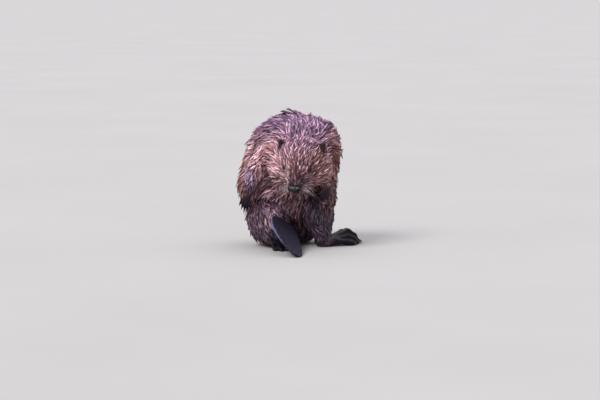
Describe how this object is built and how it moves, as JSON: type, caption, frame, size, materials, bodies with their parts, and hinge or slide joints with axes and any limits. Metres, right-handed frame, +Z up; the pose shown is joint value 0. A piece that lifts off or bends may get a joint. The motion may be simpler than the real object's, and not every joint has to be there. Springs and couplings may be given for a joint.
{
  "type": "sitting beaver",
  "caption": "Adult beaver sitting on its rump, head bent to its belly, one forepaw combing its flank, the other at its cheek, flat tail laid forward between its feet.",
  "frame": {"origin": "middle of the flat under the rump, where the beaver sits on the floor", "axes": "+Z up, +X to the beaver's left, -Y the way it faces; the longest extent, with the tail laid forward, is along Y"},
  "size_m": [0.3827, 0.4602, 0.4069],
  "materials": {
    "body_coat": "long wet guard hairs in locks, mid brown with pinkish grey sheen",
    "head_coat": "short dense fur, warm brown",
    "leg_coat": "wet dark brown fur",
    "bare_skin": "dark wrinkled skin, slightly wet",
    "tail_scales": "dark slate scales, wet",
    "ear_skin": "dark skin with short hairs",
    "eye": "wet black",
    "nose_skin": "wet black pebbled skin"
  },
  "bodies": {
    "root": {"trunk": "body_coat", "neck": "body_coat", "head": "head_coat", "upper_arm_right": "body_coat", "forearm_right": "body_coat", "upper_arm_left": "body_coat", "forearm_left": "body_coat", "thigh_right": "leg_coat", "thigh_left": "leg_coat", "shank_right": "leg_coat", "shank_left": "leg_coat", "tail_root": "leg_coat", "nose_pad": "nose_skin", "tail_blade": "tail_scales", "eye_right": "eye", "ear_right": "ear_skin", "hand_right": "bare_skin", "foot_right": "bare_skin", "eye_left": "eye", "ear_left": "ear_skin", "hand_left": "bare_skin", "foot_left": "bare_skin"}
  },
  "joints": []
}
